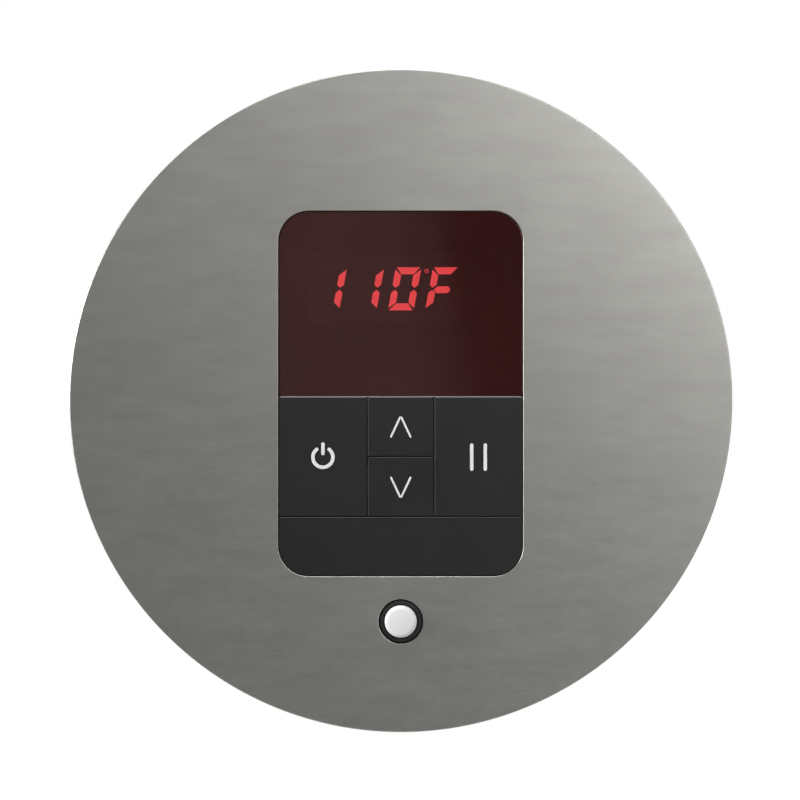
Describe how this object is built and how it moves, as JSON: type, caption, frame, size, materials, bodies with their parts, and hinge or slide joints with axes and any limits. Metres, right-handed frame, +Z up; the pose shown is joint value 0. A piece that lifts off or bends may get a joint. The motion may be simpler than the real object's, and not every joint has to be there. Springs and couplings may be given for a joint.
{
  "type": "steam room wall temperature control",
  "caption": "Round brushed-metal wall control with a set-in module: tinted temperature window, sprung keys, blank panel, a probe tip below it, and a sealed rear housing with a cable jack.",
  "frame": {"origin": "centre of the round faceplate, on the plane of the wall's surface", "axes": "+X to the right as a bather faces the control, +Z up, +Y into the wall; the visible front has Y < 0"},
  "size_m": [0.14, 0.0283, 0.14],
  "materials": {
    "brushed_metal": "fine horizontal brushing, satin, warm neutral grey",
    "fastener_steel": "bright zinc or stainless steel",
    "window_acrylic": "dark red tinted, polished",
    "key_plastic": "fine satin texture, near black",
    "housing_plastic": "moulded, fine texture, black",
    "symbol_white": "printed ink",
    "lit_red": "diffusing, lit red from behind",
    "display_grey": "matt, dark grey",
    "seal_rubber": "soft, matt, dark grey",
    "gasket_foam": "closed-cell foam, dark grey",
    "circuit_board": "green solder mask",
    "component_black": "moulded epoxy or nylon",
    "capacitor_can": "drawn can",
    "contact_gold": "gold-plated spring wire",
    "probe_white": "smooth, white",
    "lead_red": "insulation",
    "lead_black": "insulation"
  },
  "bodies": {
    "base": {"blank_panel": "key_plastic", "board_screw_1": "fastener_steel", "board_screw_2": "fastener_steel", "board_screw_3": "fastener_steel", "board_screw_4": "fastener_steel", "cable_jack": "component_black", "capacitor": "capacitor_can", "digit_1_light_guide": "lit_red", "digit_2_light_guide": "lit_red", "digit_3_light_guide": "lit_red", "digit_4_light_guide": "lit_red", "display_window": "window_acrylic", "faceplate": "brushed_metal", "faceplate_nut_1": "fastener_steel", "faceplate_nut_2": "fastener_steel", "faceplate_nut_3": "fastener_steel", "faceplate_nut_4": "fastener_steel", "faceplate_stud_1": "fastener_steel", "faceplate_stud_2": "fastener_steel", "faceplate_stud_3": "fastener_steel", "faceplate_stud_4": "fastener_steel", "front_seal": "seal_rubber", "housing_screw_1": "fastener_steel", "housing_screw_2": "fastener_steel", "housing_screw_3": "fastener_steel", "housing_screw_4": "fastener_steel", "housing_seal": "seal_rubber", "jack_contact_1": "contact_gold", "jack_contact_2": "contact_gold", "jack_contact_3": "contact_gold", "jack_contact_4": "contact_gold", "led_display": "display_grey", "main_board": "circuit_board", "microcontroller": "component_black", "module_frame": "housing_plastic", "probe_grommet": "seal_rubber", "probe_lead_left": "lead_red", "probe_lead_right": "lead_black", "probe_nut": "fastener_steel", "probe_tip": "probe_white", "probe_washer": "fastener_steel", "rear_housing": "housing_plastic", "rubber_keypad": "seal_rubber", "thermistor": "component_black", "wall_gasket": "gasket_foam"},
    "power_key": {"power_contact_pill": "component_black", "power_keycap": "key_plastic", "power_symbol_bar": "symbol_white", "power_symbol_ring": "symbol_white"},
    "up_key": {"up_contact_pill": "component_black", "up_keycap": "key_plastic", "up_symbol": "symbol_white"},
    "down_key": {"down_contact_pill": "component_black", "down_keycap": "key_plastic", "down_symbol": "symbol_white"},
    "pause_key": {"pause_contact_pill": "component_black", "pause_keycap": "key_plastic", "pause_symbol_left": "symbol_white", "pause_symbol_right": "symbol_white"}
  },
  "joints": [
    {"name": "power_press", "type": "slide", "parent": "base", "child": "power_key", "axis": [0, 1, 0], "range_m": [0, 0.0008], "stiffness_N_per_m": 2000, "deforming": ["rubber_keypad"]},
    {"name": "up_press", "type": "slide", "parent": "base", "child": "up_key", "axis": [0, 1, 0], "range_m": [0, 0.0008], "stiffness_N_per_m": 2000, "deforming": ["rubber_keypad"]},
    {"name": "down_press", "type": "slide", "parent": "base", "child": "down_key", "axis": [0, 1, 0], "range_m": [0, 0.0008], "stiffness_N_per_m": 2000, "deforming": ["rubber_keypad"]},
    {"name": "pause_press", "type": "slide", "parent": "base", "child": "pause_key", "axis": [0, 1, 0], "range_m": [0, 0.0008], "stiffness_N_per_m": 2000, "deforming": ["rubber_keypad"]}
  ]
}
